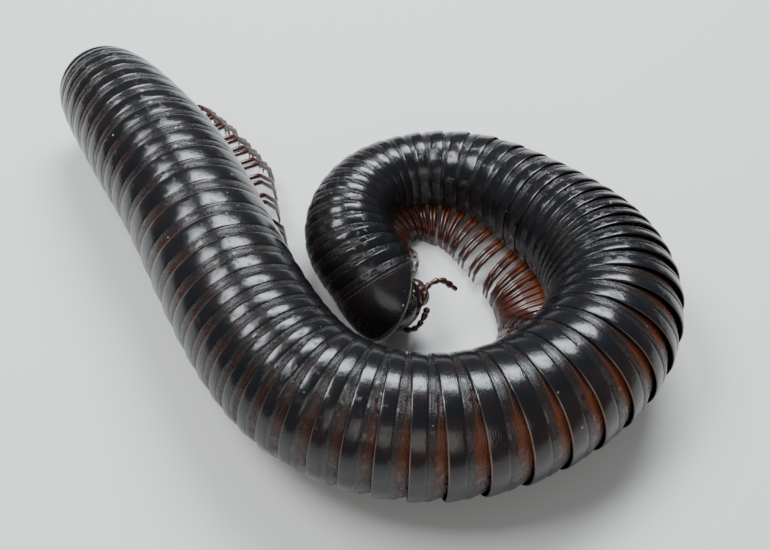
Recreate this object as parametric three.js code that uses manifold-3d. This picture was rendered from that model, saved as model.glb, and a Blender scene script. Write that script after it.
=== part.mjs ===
// A giant African millipede, life size, curled in a loose loop and standing on its legs.
// Millimetres, Z up, floor at Z = 0, origin under the middle of the whole animal.
// The body is a bent row of overlapping rings, each with two pairs of legs, between the head with
// its hood-like collum in front and the last ring with its two anal valves behind.
import * as THREE from 'three';
import { mergeVertices } from 'three/addons/utils/BufferGeometryUtils.js';
import Module from 'manifold-3d';

// Course of the body on the floor: distance behind the collum, heading towards the tail in degrees.
const COURSE = [
  [0, 125.5], [5.5, 116], [11, 96], [20, 59], [34, -1], [48, -44], [62, -56], [74, -84],
  [86, -124], [104, -158], [124, -198.5], [138, -230.5], [160, -244], [185, -237.5], [214, -236],
];
// Girth of the body: distance behind the collum, half width.
const GIRTH = [
  [0, 7.05], [8, 7.2], [20, 6.6], [30, 6.3], [44, 7.1], [58, 8.5], [74, 9.9], [100, 9.9],
  [130, 10.2], [150, 10.3], [170, 10.4], [185, 10.4], [196, 9.8], [203, 9.1], [207, 8.4], [214, 6.4],
];
// Length of the rings: distance behind the collum, length of the ring that lies there.
const RING_LENGTHS = [
  [0, 3.3], [4, 2.5], [12, 2.4], [19, 2.05], [28, 2.5], [36, 3.5], [45, 4.0], [54, 3.5], [62, 2.6],
  [69, 1.9], [76, 2.7], [86, 3.6], [98, 4.4], [108, 4.55], [118, 3.6], [128, 3.1], [136, 2.5],
  [144, 3.3], [154, 4.4], [165, 5.2], [172, 4.8], [181, 3.5], [190, 4.0], [199, 3.8], [207, 2.6],
];
const NECK = [5.51, -5.79];        // where the collum joins the first ring, on the floor plan
const STEP = 0.25;                 // the axis is laid out in short steps of this length
const TRUNK_LENGTH = 207;
const RINGS = 65;
const RINGS_PER_LENGTH = 5;
const STAND = 0.18;                // height of the belly over the floor, as a share of half width
const LIFT = 0.7;                  // how much higher the body is carried at the collum
const LIFT_LENGTH = 14;
const ARCH = 0.48;                 // slope of the neck, where the head is bowed
const ARCH_LENGTH = 26;
const BELLY = 0.93;                // depth of the belly below the axis, as a share of half width
const RING_STEP = 0.03;            // how far each ring narrows towards its front edge
const SIDES = 10;
const GAP = 0.3;                   // space left between neighbouring solids
const FINEST = 0.06;               // corners closer than this to a flat face are merged into it

// Legs. The body is rolled so that the belly faces into the loop, on the animal's left.
const ROLL = [[0, 57], [8, 50], [20, 42], [40, 38], [80, 40], [110, 30], [140, 18], [196, 14], [214, 6]];
const LEG_SPREAD = 9;              // degrees from the middle of the belly to the root of a leg
// How far a left foot stands out from the axis, in half widths.
const LEG_REACH = [[0, 1.5], [40, 1.62], [90, 1.6], [140, 1.66], [207, 1.62]];
const LEG_TUCK = 0.75;             // how far a right foot is drawn back under the belly, in half widths
const LEG_CROWD = 0.7;             // largest reach on the inside of a bend, as a share of its radius
const LEG_SPARE = 0.5;             // room kept free between two stretches side by side
const KNEE_PLACE = 0.72;           // left knee, as a share of the way from root to foot
const KNEE_HEIGHT = [[0, 0.46], [100, 0.48], [140, 0.66], [207, 0.66]];  // over the floor, in half widths
const LEG_HALF = [0.5, 0.4, 0.3];    // half thickness at the root, the knee and the foot
const ROOT_DEPTH = 0.4;            // how far a root lies inside the belly
const LEG_PLACES = [0.33, 0.68];   // the two pairs along a ring, as shares of its length
const LEG_GATHER = 0.92;           // feet of one trunk length draw together towards its middle
const LEG_SWING = 0.16;            // walking wave of the feet, as a share of the ring length
const LEG_WAVE = 13;               // legs in one walking wave
const SINGLE_PAIR_RINGS = 3;       // the first rings have one pair of legs each
const LEGLESS_RINGS = 2;           // the last rings have none
const OTHER_STRETCH = 40;          // distance along the body from which it counts as another stretch
const HEAD_REACH = 9;              // how far the head end goes on in front of the neck

// Head end, from the neck joint: to the animal's left, forward and up. It is rolled with the belly.
const COLLUM_LENGTH = 11.7;        // of the whole dome, of which the free edge cuts off the front
const COLLUM_PROFILE = [
  [0, 0], [7.1, 0], [7.06, 2.2], [6.82, 4.6], [6.27, 6.9], [5.3, 9.0], [3.59, 10.8], [0, COLLUM_LENGTH],
];
const COLLUM_NOD = 11;             // degrees that the collum curls down towards its front
const COLLUM_MARGIN = [-0.7, 34];  // the free edge: height at the back, degrees that it rises forward
const COLLUM_ROOM = 1.05;          // the collum enlarged by this share keeps clear of the eyes
const HEAD_SIZE = [4.8, 4.3, 4.0];
const HEAD_PLACE = [0, 4.2, -0.8];
const CHIN_SIZE = [1.5, 2.2, 1.2];
const CHIN_PLACE = [0, 5.0, -4.9];
const MANDIBLE_SIZE = [1.6, 2.3, 1.7];
const MANDIBLE_PLACE = [3.0, 4.8, -3.5];
const EYE_SIZE = [0.9, 1.1, 0.8];
const EYE_PLACE = [4.0, 6.0, 0.6];
const ANTENNA_JOINT = 0.3;
const ANTENNA_HALF = [0.4, 0.5, 0.45, 0.45, 0.5, 0.6, 0.4];
const CLUB_PLACES = [0.04, 0.78];  // narrowest and widest place of a feeler's joint, as shares of its length
const ANTENNA_SIDES = 5;
const ANTENNA_LEFT = [
  [3.0, 7.2, -0.9], [4.7, 6.4, -1.4], [5.6, 5.2, -2.0], [6.5, 4.9, -3.2], [7.0, 5.3, -4.9],
  [6.7, 6.4, -6.6], [6.3, 7.4, -8.0],
];
const ANTENNA_RIGHT = [
  [-2.2, 7.2, -1.6], [-1.4, 8.7, -1.8], [0.4, 9.3, -2.0], [1.9, 8.6, -2.8], [2.2, 7.9, -4.0], [1.0, 8.1, -5.2],
];
const TAIL_PROFILE = [[0, 0.15], [8.1, 0.15], [7.9, 1.4], [7.1, 2.6], [0, 2.6]];
const VALVE_SIZE = [2.6, 2.0, 5.2];
const VALVE_PLACE = [2.75, 0, -0.2];
const BALL_FACETS = [12, 7];       // facets round and along the head
const SMALL_FACETS = [7, 5];       // the same for jaws, chin plate and anal valves
const EYE_FACETS = [8, 4];
const BLOCK = 30;                  // side of the blocks that cut the head and the tail to shape

const BLACK = 0x14151a;
const BROWN = 0x3a140c;
const SMOOTH = 0.25;               // roughness of the polished plates
const SATIN = 0.35;                // roughness of the rings, limbs and mouthparts
const WET = 0.15;                  // roughness of the eyes

const wasm = await Module();
wasm.setup();
const degrees = Math.PI / 180;

// A smooth curve through rows of [place, value].
function follow(rows, x) {
  const slope = (i) => (rows[i + 1][1] - rows[i][1]) / (rows[i + 1][0] - rows[i][0]);
  const last = rows.length - 2;
  let i = 0;
  while (i < last && x >= rows[i + 1][0]) i += 1;
  const before = i === 0 ? slope(0) : (slope(i - 1) + slope(i)) / 2;
  const after = i === last ? slope(last) : (slope(i) + slope(i + 1)) / 2;
  const h = rows[i + 1][0] - rows[i][0];
  const t = (x - rows[i][0]) / h;
  const t2 = t * t;
  const t3 = t2 * t;
  return (2 * t3 - 3 * t2 + 1) * rows[i][1] + (t3 - 2 * t2 + t) * h * before
    + (3 * t2 - 2 * t3) * rows[i + 1][1] + (t3 - t2) * h * after;
}

// The axis as a chain of short steps, each along the heading at its middle.
const chain = [new THREE.Vector2(...NECK)];
for (let s = 0; s < TRUNK_LENGTH + TAIL_PROFILE[TAIL_PROFILE.length - 1][1] + 1; s += STEP) {
  const heading = follow(COURSE, s + STEP / 2) * degrees;
  const last = chain[chain.length - 1];
  chain.push(new THREE.Vector2(last.x + STEP * Math.cos(heading), last.y + STEP * Math.sin(heading)));
}

const girth = (s) => follow(GIRTH, Math.max(s, 0));

function axisHeight(s) {
  return girth(s) * (1 + STAND) + LIFT * (1 - THREE.MathUtils.smoothstep(s, 0, LIFT_LENGTH));
}

// Place and directions of the body's axis at a distance behind the collum.
function station(s) {
  const i = THREE.MathUtils.clamp(Math.floor(s / STEP), 0, chain.length - 2);
  const plan = chain[i].clone().lerp(chain[i + 1], s / STEP - i);
  const heading = follow(COURSE, Math.max(s, 0)) * degrees;
  const bow = 1 - THREE.MathUtils.smoothstep(s, 0, ARCH_LENGTH);
  const rise = axisHeight(s + 0.5) - axisHeight(s - 0.5) + ARCH * bow;
  const back = new THREE.Vector3(Math.cos(heading), Math.sin(heading), rise).normalize();
  const left = new THREE.Vector3(Math.sin(heading), -Math.cos(heading), 0);
  const up = new THREE.Vector3().crossVectors(back, left).negate();
  return { at: new THREE.Vector3(plan.x, plan.y, axisHeight(s)), back, left, up };
}

// Turns a closed three.js geometry into a solid, after moving each of its points with place().
function solid(geometry, place) {
  geometry.deleteAttribute('normal');
  geometry.deleteAttribute('uv');
  const welded = mergeVertices(geometry, 1e-5);
  const position = welded.attributes.position;
  const point = new THREE.Vector3();
  for (let i = 0; i < position.count; i += 1) {
    const moved = place(point.fromBufferAttribute(position, i));
    position.setXYZ(i, moved.x, moved.y, moved.z);
  }
  const corners = Array.from(welded.index.array);
  const kept = [];
  let volume = 0;
  const a = new THREE.Vector3();
  const b = new THREE.Vector3();
  const c = new THREE.Vector3();
  for (let i = 0; i < corners.length; i += 3) {
    const [p, q, r] = corners.slice(i, i + 3);
    if (p !== q && q !== r && r !== p) {
      kept.push([p, q, r]);
      a.fromBufferAttribute(position, p);
      b.fromBufferAttribute(position, q);
      c.fromBufferAttribute(position, r);
      volume += a.dot(b.cross(c));
    }
  }
  const triVerts = new Uint32Array((volume < 0 ? kept.map(([p, q, r]) => [p, r, q]) : kept).flat());
  const vertProperties = new Float32Array(position.array);
  return new wasm.Manifold(new wasm.Mesh({ numProp: 3, vertProperties, triVerts }));
}

const animal = new THREE.Group();

function addPiece(name, body, colour, roughness) {
  const mesh = body.getMesh();
  const geometry = new THREE.BufferGeometry();
  geometry.setAttribute('position', new THREE.BufferAttribute(mesh.vertProperties, 3));
  geometry.setIndex(new THREE.BufferAttribute(mesh.triVerts, 1));
  const material = new THREE.MeshStandardMaterial({ color: colour, roughness, metalness: 0 });
  const piece = new THREE.Mesh(geometry, material);
  piece.name = name;
  animal.add(piece);
}

// Ring edges: the rings passed so far are counted along the body, and the edges lie at even counts.
const passed = [0];
for (let s = STEP / 2; s < TRUNK_LENGTH; s += STEP) {
  passed.push(passed[passed.length - 1] + STEP / follow(RING_LENGTHS, s));
}

function ringEdge(k) {
  const wanted = (passed[passed.length - 1] * k) / RINGS;
  let i = 1;
  while (i < passed.length - 1 && passed[i] < wanted) i += 1;
  return STEP * (i - 1 + (wanted - passed[i - 1]) / (passed[i] - passed[i - 1]));
}

// Trunk: a turned saw-tooth profile, one tooth for each ring, bent along the axis.
function trunkBody(first, last) {
  const start = ringEdge(first) + GAP / 2;
  const end = ringEdge(last) - GAP / 2;
  const profile = [new THREE.Vector2(0, start)];
  for (let k = first; k < last; k += 1) {
    const front = k === first ? start : ringEdge(k) + GAP / 4;
    const rear = k === last - 1 ? end : ringEdge(k + 1) - GAP / 4;
    profile.push(new THREE.Vector2(girth(front) * (1 - RING_STEP), front));
    profile.push(new THREE.Vector2(girth(rear), rear));
  }
  profile.push(new THREE.Vector2(0, end));
  return solid(new THREE.LatheGeometry(profile, SIDES), (p) => {
    const { at, left, up } = station(p.y);
    const high = p.z < 0 ? p.z * BELLY : p.z;
    return at.clone().addScaledVector(left, p.x).addScaledVector(up, high);
  });
}

// Room on the left of the axis, shared with another stretch of the body that lies beside it.
function room(s) {
  const { at, left } = station(s);
  let least = Infinity;
  for (let other = -HEAD_REACH; other < TRUNK_LENGTH; other += 1) {
    const away = station(other).at.sub(at).setZ(0);
    if (Math.abs(other - s) > OTHER_STRETCH && away.dot(left) > 0) {
      least = Math.min(least, (away.length() * girth(s)) / (girth(s) + girth(other)));
    }
  }
  return least - LEG_SPARE;
}

// One leg: a three-sided bar from the belly out to the knee and down to a small flat on the floor.
const legSection = new THREE.Shape([
  new THREE.Vector2(1, 0), new THREE.Vector2(-0.5, 0.87), new THREE.Vector2(-0.5, -0.87),
]);

function leg(s, side, middle, ringLength, count) {
  const half = girth(s);
  const angle = (follow(ROLL, s) + side * LEG_SPREAD) * degrees;
  const root = half * Math.sin(angle);
  const turn = (follow(COURSE, s + 2) - follow(COURSE, s - 2)) * degrees / 4;
  const crowd = LEG_CROWD / Math.max(-turn, 1e-4);
  const widest = follow(LEG_REACH, s) * half;
  const reach = side > 0 ? Math.min(widest, crowd, room(s)) : root - LEG_TUCK * half;
  const swing = LEG_SWING * ringLength * Math.sin((2 * Math.PI * count) / LEG_WAVE + side);
  const foot = middle + (s - middle) * LEG_GATHER + swing + half * station(s).back.z;
  const drop = BELLY * half * Math.cos(angle) - ROOT_DEPTH;
  const lean = station(s).back.z;
  const belly = s + drop * lean;
  const rootHigh = axisHeight(s) - drop * Math.sqrt(1 - lean * lean);
  const kneeOut = root + (reach - root) * KNEE_PLACE;
  const joints = [
    { s: belly, out: root, high: rootHigh, across: [0, 1], thick: LEG_HALF[0] },
    { s: (belly + foot) / 2, out: kneeOut, high: follow(KNEE_HEIGHT, s) * half, across: [0.6, 0.8], thick: LEG_HALF[1] },
    { s: foot, out: reach, high: 0, across: [1, 0], thick: LEG_HALF[2] },
  ];
  if (side < 0) joints.splice(1, 1);
  const steps = joints.length - 1;
  const bar = new THREE.ExtrudeGeometry(legSection, { depth: steps, steps, bevelEnabled: false });
  return solid(bar, (p) => {
    const joint = joints[Math.round(p.z)];
    const { thick } = joint;
    const { at, back, left } = station(joint.s);
    const flat = new THREE.Vector3(back.x, back.y, 0).normalize();
    return new THREE.Vector3(at.x, at.y, joint.high)
      .addScaledVector(left, joint.out + side * p.x * thick * joint.across[0])
      .addScaledVector(flat, p.y * thick)
      .add(new THREE.Vector3(0, 0, p.x * thick * joint.across[1]));
  });
}

for (let first = 0; first < RINGS; first += RINGS_PER_LENGTH) {
  const last = Math.min(first + RINGS_PER_LENGTH, RINGS);
  const middle = (ringEdge(first) + ringEdge(last)) / 2;
  let body = trunkBody(first, last);
  for (let k = first; k < Math.min(last, RINGS - LEGLESS_RINGS); k += 1) {
    const ringLength = ringEdge(k + 1) - ringEdge(k);
    const places = k < SINGLE_PAIR_RINGS ? LEG_PLACES.slice(1) : LEG_PLACES;
    places.forEach((place, pair) => {
      const s = ringEdge(k) + place * ringLength;
      body = body.add(leg(s, 1, middle, ringLength, 2 * k + pair));
      body = body.add(leg(s, -1, middle, ringLength, 2 * k + pair));
    });
  }
  const name = `trunk_${String(first / RINGS_PER_LENGTH + 1).padStart(2, '0')}`;
  addPiece(name, body.simplify(FINEST), BLACK, SATIN);
}

// The head end has its own directions, from the neck joint: x to the animal's left, y forward, z up.
const neck = station(0);
const collumFrame = new THREE.Matrix4().makeBasis(neck.left, neck.back.clone().negate(), neck.up)
  .multiply(new THREE.Matrix4().makeRotationY(-ROLL[0][1] * degrees))
  .setPosition(neck.at);
const onCollum = (p) => p.applyMatrix4(collumFrame);

function ball(size, place, facets) {
  const sphere = new THREE.SphereGeometry(1, ...facets);
  sphere.rotateX(Math.PI / 2);
  sphere.scale(...size);
  sphere.translate(...place);
  return sphere;
}

const mirrored = (place, side) => [place[0] * side, place[1], place[2]];
const larger = (size) => size.map((half) => half + GAP);
const headRoom = solid(ball(larger(HEAD_SIZE), HEAD_PLACE, BALL_FACETS), onCollum);

// Everything of the head end stays in front of the first ring.
const front = solid(new THREE.BoxGeometry(BLOCK, BLOCK, BLOCK).translate(0, BLOCK / 2 + GAP, 0), onCollum);

// Collum: a rounded hood over the head, curling down to its front edge and open below.
const hood = new THREE.LatheGeometry(COLLUM_PROFILE.map(([x, y]) => new THREE.Vector2(x, y)), BALL_FACETS[0]);
const curled = (p) => {
  const angle = COLLUM_NOD * degrees * (p.y / COLLUM_LENGTH) ** 2;
  const cosine = Math.cos(angle);
  const sine = Math.sin(angle);
  return onCollum(new THREE.Vector3(p.x, p.y * cosine + p.z * sine, p.z * cosine - p.y * sine));
};
const below = new THREE.BoxGeometry(BLOCK, BLOCK, BLOCK).translate(0, 0, -BLOCK / 2);
below.rotateX(COLLUM_MARGIN[1] * degrees).translate(0, 0, COLLUM_MARGIN[0]);
const belowEdge = solid(below, onCollum);
const collum = solid(hood, curled).intersect(front).subtract(belowEdge).subtract(headRoom);
const collumRoom = solid(hood.clone().scale(COLLUM_ROOM, COLLUM_ROOM, COLLUM_ROOM), curled).subtract(belowEdge);
addPiece('collum', collum, BLACK, SMOOTH);

const head = solid(ball(HEAD_SIZE, HEAD_PLACE, BALL_FACETS), onCollum).intersect(front);
addPiece('head', head, BLACK, SMOOTH);

// Mouthparts under the head: a mandible at each side and the chin plate between them.
const chin = solid(ball(CHIN_SIZE, CHIN_PLACE, SMALL_FACETS), onCollum).intersect(front).subtract(headRoom);
addPiece('chin_plate', chin, BROWN, SATIN);

// Feelers: seven club-shaped joints threaded on a curve, each narrow where it meets the last.
function antenna(places) {
  const curve = new THREE.CatmullRomCurve3(places.map((place) => onCollum(new THREE.Vector3(...place))));
  const profile = [new THREE.Vector2(0, 0)];
  ANTENNA_HALF.forEach((thick, i) => {
    profile.push(new THREE.Vector2(ANTENNA_JOINT, (i + CLUB_PLACES[0]) / ANTENNA_HALF.length));
    profile.push(new THREE.Vector2(thick, (i + CLUB_PLACES[1]) / ANTENNA_HALF.length));
  });
  profile.push(new THREE.Vector2(0, 1));
  return solid(new THREE.LatheGeometry(profile, ANTENNA_SIDES), (p) => {
    const along = curve.getTangentAt(p.y);
    const aside = new THREE.Vector3(0, 0, 1).cross(along).normalize();
    const over = along.clone().cross(aside);
    return curve.getPointAt(p.y).addScaledVector(aside, p.x).addScaledVector(over, p.z);
  }).subtract(headRoom);
}
addPiece('antenna_left', antenna(ANTENNA_LEFT), BROWN, SATIN);
addPiece('antenna_right', antenna(ANTENNA_RIGHT), BROWN, SATIN);

[['left', 1], ['right', -1]].forEach(([name, side]) => {
  const mandible = solid(ball(MANDIBLE_SIZE, mirrored(MANDIBLE_PLACE, side), SMALL_FACETS), onCollum);
  addPiece(`mandible_${name}`, mandible.intersect(front).subtract(headRoom), BLACK, SATIN);
  const eye = solid(ball(EYE_SIZE, mirrored(EYE_PLACE, side), EYE_FACETS), onCollum);
  addPiece(`eye_${name}`, eye.subtract(headRoom).subtract(collumRoom), BLACK, WET);
});

// Tail: the last ring closes round two upright anal valves.
const tailFrame = (s) => {
  const { at, back, left, up } = station(s);
  return new THREE.Matrix4().makeBasis(left, back, up).setPosition(at);
};
const tailPoints = TAIL_PROFILE.map(([x, y]) => new THREE.Vector2(x, y + TRUNK_LENGTH));
const tail = solid(new THREE.LatheGeometry(tailPoints, SIDES), (p) => {
  const { at, left, up } = station(p.y);
  return at.clone().addScaledVector(left, p.x).addScaledVector(up, p.z < 0 ? p.z * BELLY : p.z);
});
addPiece('tail', tail, BLACK, SATIN);

const valveFrame = tailFrame(TRUNK_LENGTH + TAIL_PROFILE[TAIL_PROFILE.length - 1][1] + GAP);
const behind = new THREE.BoxGeometry(BLOCK, BLOCK, BLOCK).translate(0, BLOCK / 2, 0);
const behindTail = solid(behind, (p) => p.applyMatrix4(valveFrame));
[['left', 1], ['right', -1]].forEach(([name, side]) => {
  const valve = solid(ball(VALVE_SIZE, mirrored(VALVE_PLACE, side), SMALL_FACETS), (p) => p.applyMatrix4(valveFrame));
  addPiece(`anal_valve_${name}`, valve.intersect(behindTail), BROWN, SATIN);
});

export default animal;
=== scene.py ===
import math
import bpy
import numpy as np
from mathutils import Matrix


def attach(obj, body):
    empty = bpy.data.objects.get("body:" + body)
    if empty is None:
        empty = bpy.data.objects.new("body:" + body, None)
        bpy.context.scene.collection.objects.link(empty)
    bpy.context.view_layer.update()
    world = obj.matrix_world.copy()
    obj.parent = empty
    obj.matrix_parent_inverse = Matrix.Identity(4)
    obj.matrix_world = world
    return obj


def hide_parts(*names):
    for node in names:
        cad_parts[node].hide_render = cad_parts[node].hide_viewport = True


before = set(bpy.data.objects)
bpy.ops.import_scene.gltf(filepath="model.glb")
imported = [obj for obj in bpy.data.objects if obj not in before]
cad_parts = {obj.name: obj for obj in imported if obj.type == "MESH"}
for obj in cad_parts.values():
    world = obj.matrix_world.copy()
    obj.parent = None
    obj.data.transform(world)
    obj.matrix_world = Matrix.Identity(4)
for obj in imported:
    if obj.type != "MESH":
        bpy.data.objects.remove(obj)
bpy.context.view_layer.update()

# The course of the body. The animal lies in a loose loop: its axis starts at the neck, runs clockwise round
# the loop and ends straight at the tail. All its rings, plates and legs are placed along this one line.
COURSE = [
    [0, 125.5], [5.5, 116], [11, 96], [20, 59], [34, -1], [48, -44], [62, -56], [74, -84],
    [86, -124], [104, -158], [124, -198.5], [138, -230.5], [160, -244], [185, -237.5], [214, -236],
]
GIRTH = [
    [0, 7.05], [8, 7.2], [20, 6.6], [30, 6.3], [44, 7.1], [58, 8.5], [74, 9.9], [100, 9.9],
    [130, 10.2], [150, 10.3], [170, 10.4], [185, 10.4], [196, 9.8], [203, 9.1], [207, 8.4], [214, 6.4],
]
ROLL = [[0, 57], [8, 50], [20, 42], [40, 38], [80, 40], [110, 30], [140, 18], [196, 14], [214, 6]]
NECK = [5.51, -5.79]
TRUNK_LENGTH = 207.0
STAND = 0.18
LIFT = 0.7
LIFT_LENGTH = 14.0
ARCH = 0.48
ARCH_LENGTH = 26.0
BELLY = 0.93
STEP = 0.25


def follow(rows, x):
    """A smooth curve through rows of place and value. Each stretch is a cubic, and its slope at an inner
    row is the mean of the two straight slopes that meet there."""
    place, value = np.array(rows, float).T
    chord = np.diff(value) / np.diff(place)
    slope = np.concatenate([chord[:1], (chord[1:] + chord[:-1]) / 2, chord[-1:]])
    i = np.clip(np.searchsorted(place, x, side="right") - 1, 0, len(place) - 2)
    width = place[i + 1] - place[i]
    t = (x - place[i]) / width
    start = (2 * t**3 - 3 * t**2 + 1) * value[i] + (t**3 - 2 * t**2 + t) * width * slope[i]
    end = (3 * t**2 - 2 * t**3) * value[i + 1] + (t**3 - t**2) * width * slope[i + 1]
    return start + end


def smoothstep(low, high, x):
    """Rises from 0 at low to 1 at high, level at both ends."""
    t = np.clip((x - low) / (high - low), 0, 1)
    return t * t * (3 - 2 * t)


def girth(s):
    """Half width of the body, s millimetres behind the collum."""
    return follow(GIRTH, np.maximum(s, 0))


def axis_height(s):
    """Height of the axis: the belly hangs a share of the half width over the floor, and a little higher in
    front."""
    return girth(s) * (1 + STAND) + LIFT * (1 - smoothstep(0, LIFT_LENGTH, s))


course_steps = np.arange(0, TRUNK_LENGTH + 4, STEP)
course_headings = np.radians(follow(COURSE, course_steps + STEP / 2))
course_moves = STEP * np.column_stack([np.cos(course_headings), np.sin(course_headings)])
course_plan = np.vstack([NECK, NECK + np.cumsum(course_moves, axis=0)])


def station(s):
    """Points of the axis and its directions there: back towards the tail, to the animal's left, and up.
    The plan is the chain of short steps. The rings lean by the axis height's change over a millimetre and
    by the arch of the neck, where the animal bows its head."""
    s = np.asarray(s, float)
    i = np.clip(np.floor(s / STEP).astype(int), 0, len(course_plan) - 2)
    share = (s / STEP - i)[..., None]
    plan = course_plan[i] * (1 - share) + course_plan[i + 1] * share
    heading = np.radians(follow(COURSE, np.maximum(s, 0)))
    rise = axis_height(s + 0.5) - axis_height(s - 0.5) + ARCH * (1 - smoothstep(0, ARCH_LENGTH, s))
    back = np.stack([np.cos(heading), np.sin(heading), rise], axis=-1)
    back /= np.linalg.norm(back, axis=-1, keepdims=True)
    left = np.stack([np.sin(heading), -np.cos(heading), 0 * heading], axis=-1)
    up = np.cross(left, back)
    at = np.concatenate([plan, axis_height(s)[..., None]], axis=-1)
    return at, back, left, up


# Trunk rings: sixty-five stiff hoops of hard black chitin, each sliding under the rim of the one in front,
# so that the body bends. A ring is a narrow finely lined front part, a groove, and a wide polished rear
# part.
MM = 0.001
RINGS = 65
RINGS_PER_LENGTH = 5
LENGTHS = RINGS // RINGS_PER_LENGTH
RING_AROUND = 112
RING_ALONG = 40
# Length of the rings: distance behind the collum, length of the ring that lies there.
RING_LENGTHS = [
    [0, 3.3], [4, 2.5], [12, 2.4], [19, 2.05], [28, 2.5], [36, 3.5], [45, 4.0], [54, 3.5], [62, 2.6],
    [69, 1.9], [76, 2.7], [86, 3.6], [98, 4.4], [108, 4.55], [118, 3.6], [128, 3.1], [136, 2.5],
    [144, 3.3], [154, 4.4], [165, 5.2], [172, 4.8], [181, 3.5], [190, 4.0], [199, 3.8], [207, 2.6],
]
# Place along the ring and radius as a share of the girth, from the tucked front over the outside to the
# rear rim and back along the inside.
RING_PROFILE = [
    [-0.50, 0.880], [-0.25, 0.925], [-0.06, 0.950], [0.03, 0.960], [0.10, 0.975], [0.22, 0.984],
    [0.34, 0.985], [0.385, 0.976], [0.43, 0.985], [0.52, 0.991], [0.66, 0.997], [0.82, 1.000],
    [0.93, 0.999], [0.975, 0.995], [1.000, 0.985], [0.990, 0.974], [0.90, 0.966], [0.62, 0.954],
    [0.40, 0.905], [0.10, 0.880], [-0.42, 0.855],
]
STERNITE_HALF = 17.0
STERNITE_DEPTH = 0.055
PLEURAL_RIDGE = 0.012
PLEURAL_PLACE = 26.0
PLEURAL_HALF = 5.0
# Where the markings lie along a ring, each as the low and high end of its edge or stripe.
FRONT_END = [0.36, 0.40]
BAND_END = [0.16, 0.38]
RIM_STRIPE = [0.95, 0.99]
SEAM_STRIPE = [0.02, 0.055]
REAR_PART = [0.44, 0.95]
# The same round the ring, from the middle of the belly at 0 to the middle of the back at 1.
BELLY_END = [0.12, 0.18]
LOW_SIDE = [0.18, 0.50]
CHITIN_BLACK = (0.0050, 0.0052, 0.0066, 1)
FRONT_BLACK = (0.0085, 0.0075, 0.0075, 1)
CHITIN_BROWN = (0.026, 0.011, 0.008, 1)
FRONT_BAND = (0.120, 0.030, 0.009, 1)
# Pale tint of the ring rims and seams. On the collum it also serves as the painted highlight along the fold.
RIM_PALE = (0.150, 0.085, 0.055, 1)
# How brown the outer flank is: distance behind the collum, share. It fades away from the angle below.
BROWN_ALONG = [
    [0, 0.0], [50, 0.05], [78, 0.35], [90, 1.0], [112, 1.0], [126, 0.35], [160, 0.35], [207, 0.40],
]
BROWN_ANGLE = -54.0
BROWN_SPREAD = 24.0
STERNITE_BROWN = (0.190, 0.052, 0.015, 1)
DUST_PALE = (0.480, 0.450, 0.380, 1)

ring_steps = np.arange(0, TRUNK_LENGTH, STEP)
rings_passed = np.concatenate([[0], np.cumsum(STEP / follow(RING_LENGTHS, ring_steps + STEP / 2))])
ring_places = np.append(ring_steps, TRUNK_LENGTH)
ring_edges = np.interp(np.linspace(0, rings_passed[-1], RINGS + 1), rings_passed, ring_places)


def spline(a, b, c, d, t):
    """The Catmull-Rom cubic from b to c, whose neighbours are a and d. t goes from 0 to 1."""
    return b + t * ((c - a) / 2 + t * (a - 2.5 * b + 2 * c - d / 2 + t * ((d - a) / 2 + 1.5 * (b - c))))


def smooth_loop(points, count):
    """A closed smooth curve through points, at count even steps of the parameter: the spline of each pair
    of points and their two neighbours."""
    points = np.array(points, float)
    t = np.arange(count) * len(points) / count
    i = np.floor(t).astype(int)
    t = (t - i)[:, None]
    a, b, c, d = (points[(i + k) % len(points)] for k in (-1, 0, 1, 2))
    return spline(a, b, c, d, t)


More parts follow.
